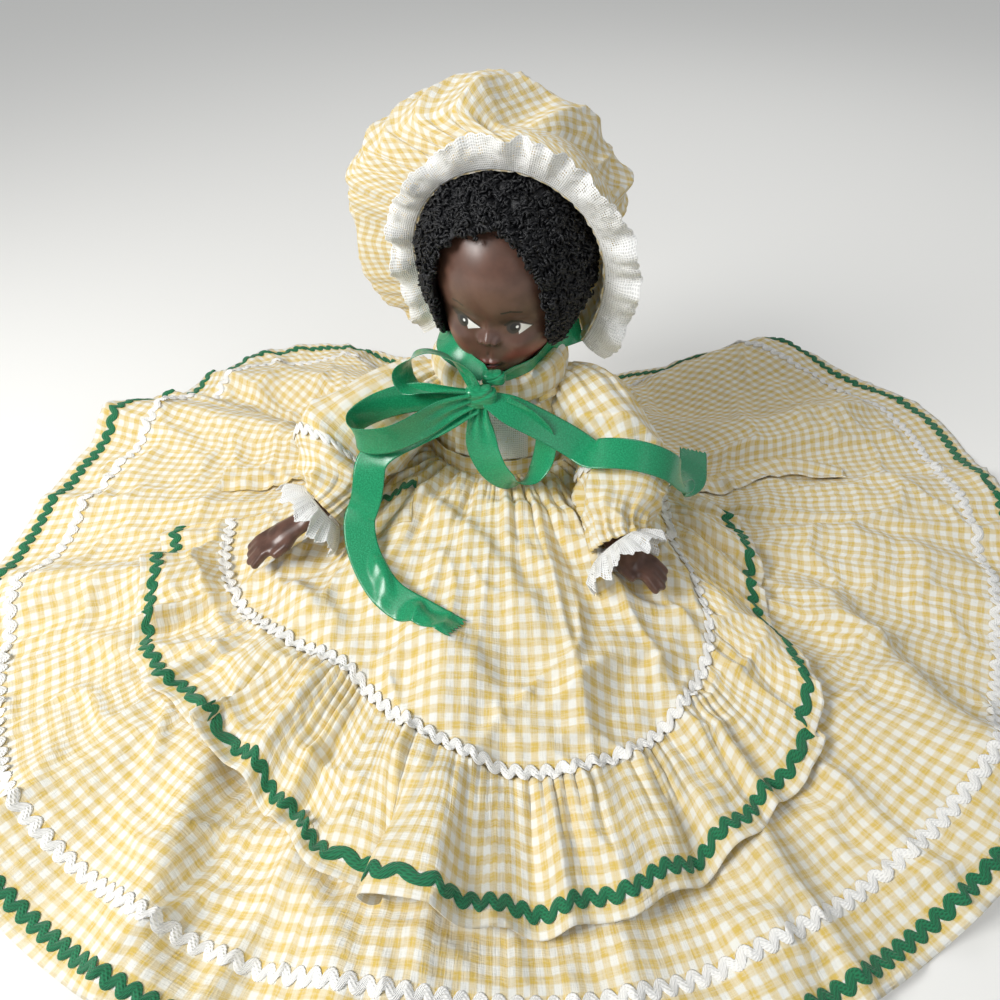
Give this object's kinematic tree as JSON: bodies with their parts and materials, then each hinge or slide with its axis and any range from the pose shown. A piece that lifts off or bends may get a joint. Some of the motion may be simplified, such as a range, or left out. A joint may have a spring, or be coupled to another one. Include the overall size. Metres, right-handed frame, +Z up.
{
  "type": "baby doll",
  "caption": "Sitting baby doll in a spread gingham dress with pinafore, ruffled bonnet and ribbon bow; head, arms and legs turn.",
  "frame": {"origin": "on the floor under the middle of the seat, in the torso's flat seat face", "axes": "+Z up; the doll faces -Y, +X to its left side, the viewer's right"},
  "size_m": [0.5617, 0.4375, 0.2225],
  "materials": {
    "gingham": "woven cotton",
    "body_cloth": "plain muslin",
    "skin": "painted, semi-gloss",
    "hair": "curled pile",
    "ribbon": "satin",
    "lace": "pinhole lace",
    "green_trim": "woven rickrack",
    "white_trim": "woven rickrack",
    "cord": "twisted thread",
    "button": "gloss"
  },
  "bodies": {
    "torso": {"torso": "body_cloth", "neck_tie": "cord", "bodice": "gingham", "skirt": "gingham", "skirt_white_rickrack": "white_trim", "skirt_green_rickrack": "green_trim", "apron_panel": "gingham", "apron_white_rickrack": "white_trim", "apron_ruffle": "gingham", "apron_green_rickrack": "green_trim", "pocket": "gingham", "pocket_rickrack": "green_trim", "waistband": "gingham", "bib": "gingham", "bib_lace": "lace", "strap_left": "gingham", "strap_right": "gingham", "collar": "gingham", "back_button_1": "button", "back_button_2": "button", "back_button_3": "button", "waist_tie_right": "gingham", "waist_tie_left": "gingham", "chin_knot": "ribbon", "bow_knot": "ribbon", "bow_loop_left": "ribbon", "bow_loop_drop": "ribbon", "bow_loop_arch": "ribbon", "ribbon_tail_left": "ribbon", "ribbon_tail_right": "ribbon"},
    "head": {"head": "skin", "wig": "hair", "bonnet_brim": "gingham", "bonnet_lace": "lace", "bonnet_crown": "gingham", "chin_strap_left": "ribbon", "chin_strap_right": "ribbon"},
    "arm_left": {"upper_arm_left": "body_cloth", "forearm_left": "skin", "elbow_tie_left": "cord", "sleeve_left": "gingham", "sleeve_rickrack_left": "white_trim", "cuff_lace_left": "lace"},
    "arm_right": {"upper_arm_right": "body_cloth", "forearm_right": "skin", "elbow_tie_right": "cord", "sleeve_right": "gingham", "sleeve_rickrack_right": "white_trim", "cuff_lace_right": "lace"},
    "leg_left": {"thigh_left": "body_cloth", "lower_leg_left": "skin", "knee_tie_left": "cord"},
    "leg_right": {"thigh_right": "body_cloth", "lower_leg_right": "skin", "knee_tie_right": "cord"}
  },
  "joints": [
    {"name": "neck_turn", "type": "hinge", "parent": "torso", "child": "head", "pos_m": [0, 0, 0.087], "axis": [0, 0, 1], "range_deg": [-35, 35], "deforming": ["chin_strap_left", "chin_strap_right"]},
    {"name": "shoulder_left", "type": "hinge", "parent": "torso", "child": "arm_left", "pos_m": [-0.039, -0.004, 0.08], "axis": [-1, 0, 0], "range_deg": [0, 55], "deforming": ["sleeve_left", "sleeve_rickrack_left", "ribbon_tail_left", "bow_loop_left"]},
    {"name": "shoulder_right", "type": "hinge", "parent": "torso", "child": "arm_right", "pos_m": [0.039, -0.004, 0.08], "axis": [-1, 0, 0], "range_deg": [0, 55], "deforming": ["sleeve_right", "sleeve_rickrack_right", "ribbon_tail_right"]},
    {"name": "hip_left", "type": "hinge", "parent": "torso", "child": "leg_left", "pos_m": [-0.02, -0.025, 0.017], "axis": [0, 0, -1], "range_deg": [-5, 10]},
    {"name": "hip_right", "type": "hinge", "parent": "torso", "child": "leg_right", "pos_m": [0.02, -0.025, 0.017], "axis": [0, 0, 1], "range_deg": [-5, 10]}
  ]
}
